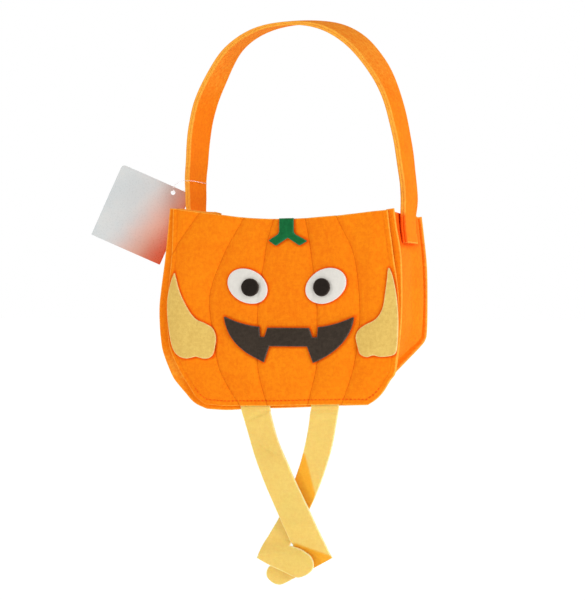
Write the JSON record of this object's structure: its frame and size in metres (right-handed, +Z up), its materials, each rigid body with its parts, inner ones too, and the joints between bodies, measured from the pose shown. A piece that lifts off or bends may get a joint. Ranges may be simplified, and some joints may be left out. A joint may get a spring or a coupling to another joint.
{
  "type": "felt trick-or-treat basket",
  "caption": "Soft felt pumpkin-faced bag with a strap handle, dangling crossed legs and a plain hang tag, for carrying sweets.",
  "frame": {"origin": "underside of the handle crown, where the basket hangs from a hand or a hook", "axes": "+X to the right as seen from the face, +Y from the face to the back panel, +Z up"},
  "size_m": [0.2333, 0.0786, 0.3846],
  "materials": {
    "orange_felt": "matte needle felt",
    "beige_felt": "matte needle felt",
    "green_felt": "matte needle felt",
    "white_felt": "matte needle felt",
    "black_felt": "matte needle felt",
    "tag_card": "smooth uncoated card, unprinted",
    "clear_plastic": "smooth clear plastic"
  },
  "bodies": {
    "handle": {"handle_inner_layer": "orange_felt", "handle_outer_layer": "orange_felt", "tag_fastener": "clear_plastic"},
    "bag": {"front_panel": "orange_felt", "back_panel": "orange_felt", "gusset": "orange_felt", "stem": "green_felt", "mouth": "black_felt", "left_eye_white": "white_felt", "right_eye_white": "white_felt", "left_pupil": "black_felt", "right_pupil": "black_felt", "left_hand": "beige_felt", "right_hand": "beige_felt", "left_tail_inner": "orange_felt", "left_tail_outer": "orange_felt", "right_tail_inner": "orange_felt", "right_tail_outer": "orange_felt"},
    "left_leg": {"left_leg": "beige_felt"},
    "right_leg": {"right_leg": "beige_felt"},
    "tag": {"swing_tag": "tag_card"}
  },
  "joints": [
    {"name": "bag_swing", "type": "hinge", "parent": "handle", "child": "bag", "pos_m": [-0.00002, 0.00968, -0.11264], "axis": [1, 0, 0], "range_deg": [-70, 75]},
    {"name": "left_leg_swing", "type": "hinge", "parent": "bag", "child": "left_leg", "pos_m": [-0.00002, -0.03036, -0.26234], "axis": [1, 0, 0], "range_deg": [-90, 85]},
    {"name": "right_leg_swing", "type": "hinge", "parent": "bag", "child": "right_leg", "pos_m": [-0.00002, -0.03036, -0.26234], "axis": [1, 0, 0], "range_deg": [-90, 85]},
    {"name": "tag_swing", "type": "hinge", "parent": "handle", "child": "tag", "pos_m": [-0.09613, 0.01069, -0.11064], "axis": [-0.342, 0.9397, 0], "range_deg": [-20, 60]}
  ],
  "couplings": [
    {"joint": "right_leg_swing", "follows": "left_leg_swing", "ratio": 1}
  ]
}
